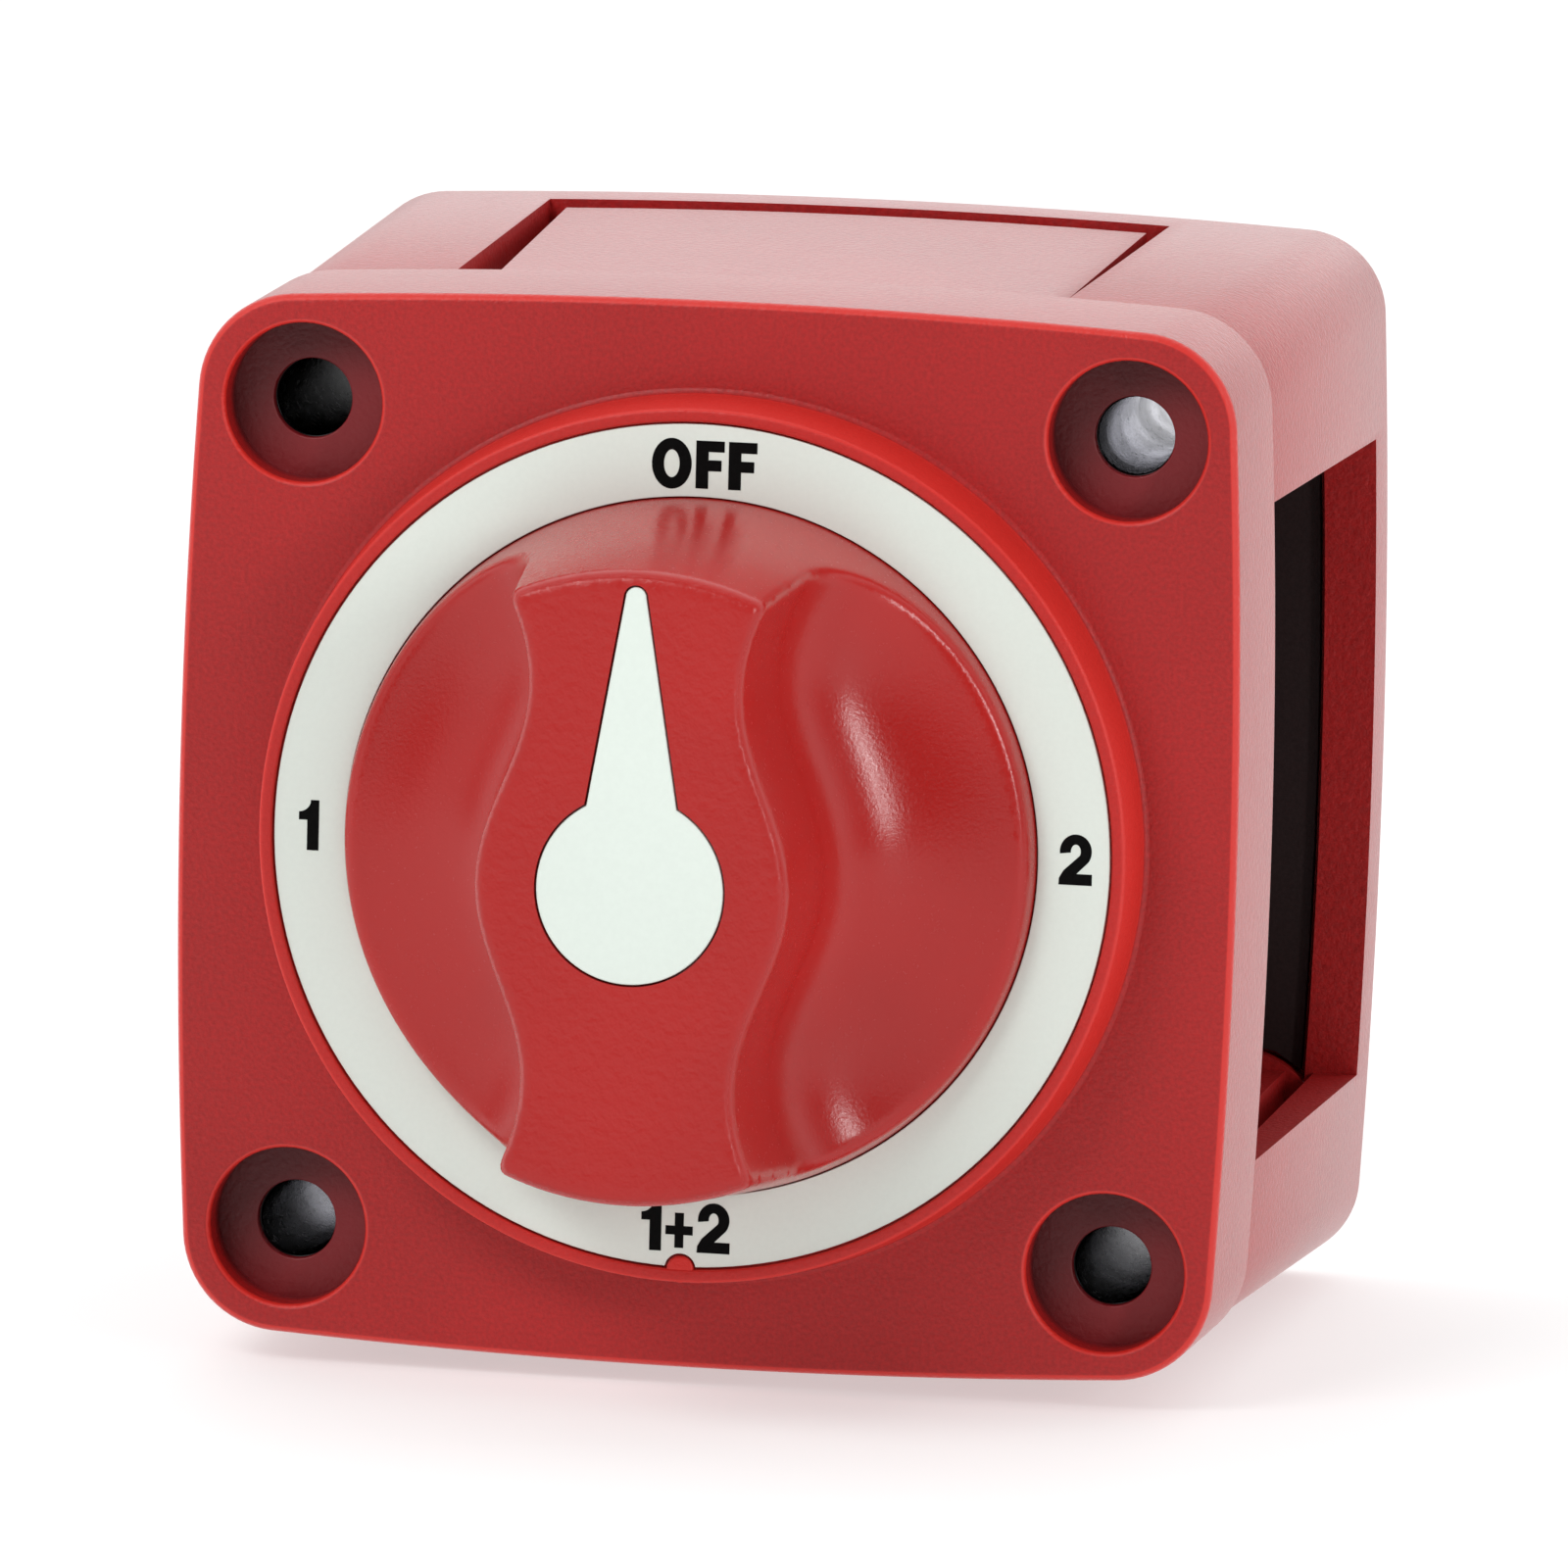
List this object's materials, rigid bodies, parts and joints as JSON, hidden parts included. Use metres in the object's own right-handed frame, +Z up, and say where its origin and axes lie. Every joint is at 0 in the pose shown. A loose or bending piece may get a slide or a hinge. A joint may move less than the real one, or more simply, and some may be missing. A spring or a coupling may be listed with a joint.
{
  "type": "battery selector switch",
  "caption": "Square red rotary battery selector switch with a scooped grip knob on a white dial, corner mounting holes, open-sided rear cover and stud terminals.",
  "frame": {"origin": "centre of the rear cover's back face, on the knob's axis", "axes": "+Z up, +Y from the front of the switch into the panel it is mounted on, +X to the user's right"},
  "size_m": [0.0694, 0.077, 0.0694],
  "materials": {
    "housing_red": "fine matt texture",
    "knob_red": "semi-gloss scoops, textured grip face",
    "dial_white": "matt, faintly green white",
    "black_plastic": "satin",
    "grey_plastic": "satin",
    "rubber": "matt",
    "steel": "bright",
    "copper": "bright copper"
  },
  "bodies": {
    "housing": {"back_insulator": "black_plastic", "battery_1_contact": "copper", "battery_1_lock_washer": "steel", "battery_1_nut": "steel", "battery_1_stud": "copper", "battery_2_contact": "copper", "battery_2_lock_washer": "steel", "battery_2_nut": "steel", "battery_2_stud": "copper", "case_gasket": "rubber", "case_lid": "black_plastic", "case_screw_1": "steel", "case_screw_2": "steel", "case_screw_3": "steel", "case_screw_4": "steel", "common_contact": "copper", "common_lock_washer": "steel", "common_nut": "steel", "common_stud": "copper", "contact_case": "black_plastic", "detent_housing": "black_plastic", "detent_spring_left": "steel", "detent_spring_right": "steel", "front_housing": "housing_red", "label_ring": "dial_white", "mounting_sleeve_bottom_left": "steel", "mounting_sleeve_bottom_right": "steel", "mounting_sleeve_top_left": "steel", "mounting_sleeve_top_right": "steel", "rear_cover": "housing_red", "shaft_bearing": "grey_plastic", "shaft_seal": "rubber", "side_plate_bottom": "housing_red", "side_plate_left": "housing_red", "side_plate_top": "housing_red"},
    "knob": {"knob": "knob_red", "pointer_insert": "dial_white", "knob_screw": "steel", "knob_washer": "steel", "drive_shaft": "steel", "rotor": "grey_plastic", "contact_spring": "steel"},
    "contact_blade": {"contact_blade": "copper"},
    "detent_plunger_left": {"detent_plunger_left": "grey_plastic"},
    "detent_plunger_right": {"detent_plunger_right": "grey_plastic"}
  },
  "joints": [
    {"name": "knob_turn", "type": "hinge", "parent": "housing", "child": "knob", "pos_m": [0, -0.054, 0], "axis": [0, -1, 0], "continuous": true},
    {"name": "blade_float", "type": "slide", "parent": "knob", "child": "contact_blade", "axis": [0, -1, 0], "range_m": [0, 0.0008], "stiffness_N_per_m": 1500, "springref_m": -0.001, "deforming": ["contact_spring"]},
    {"name": "plunger_right_slide", "type": "slide", "parent": "housing", "child": "detent_plunger_right", "axis": [1, 0, 0], "range_m": [0, 0.0012], "stiffness_N_per_m": 400, "springref_m": -0.001, "deforming": ["detent_spring_right"]},
    {"name": "plunger_left_slide", "type": "slide", "parent": "housing", "child": "detent_plunger_left", "axis": [-1, 0, 0], "range_m": [0, 0.0012], "stiffness_N_per_m": 400, "springref_m": -0.001, "deforming": ["detent_spring_left"]}
  ]
}
